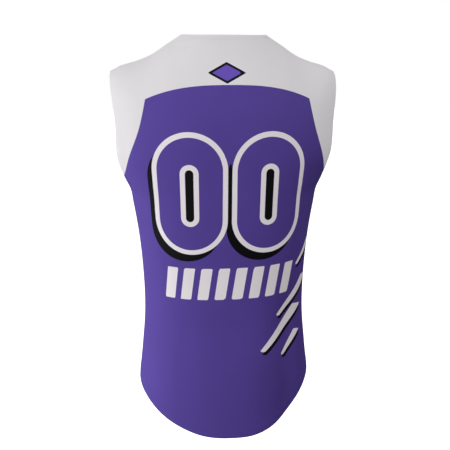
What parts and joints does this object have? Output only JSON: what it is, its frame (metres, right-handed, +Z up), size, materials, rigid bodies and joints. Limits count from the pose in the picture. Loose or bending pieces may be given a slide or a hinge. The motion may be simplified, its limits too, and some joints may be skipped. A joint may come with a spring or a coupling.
{
  "type": "softball jersey",
  "caption": "Sleeveless pull-over softball jersey, filled out and hollow, with a contrasting yoke that runs down beside the armholes, a V neck and a shirt-tail hem.",
  "frame": {"origin": "on the centre plane at the height at which the wearer's shoulders carry the jersey, midway along the armhole's depth", "axes": "+Z up, -Y the way the jersey's front faces, +X the wearer's left"},
  "size_m": [0.362, 0.2474, 0.697],
  "materials": {
    "body_knit": "purple polyester knit, smooth face, soft low sheen",
    "yoke_knit": "white polyester knit, smooth face, soft low sheen"
  },
  "bodies": {
    "root": {"back_body": "body_knit", "front_body": "body_knit", "back_yoke": "yoke_knit", "front_yoke_left": "yoke_knit", "front_yoke_right": "yoke_knit"}
  },
  "joints": []
}
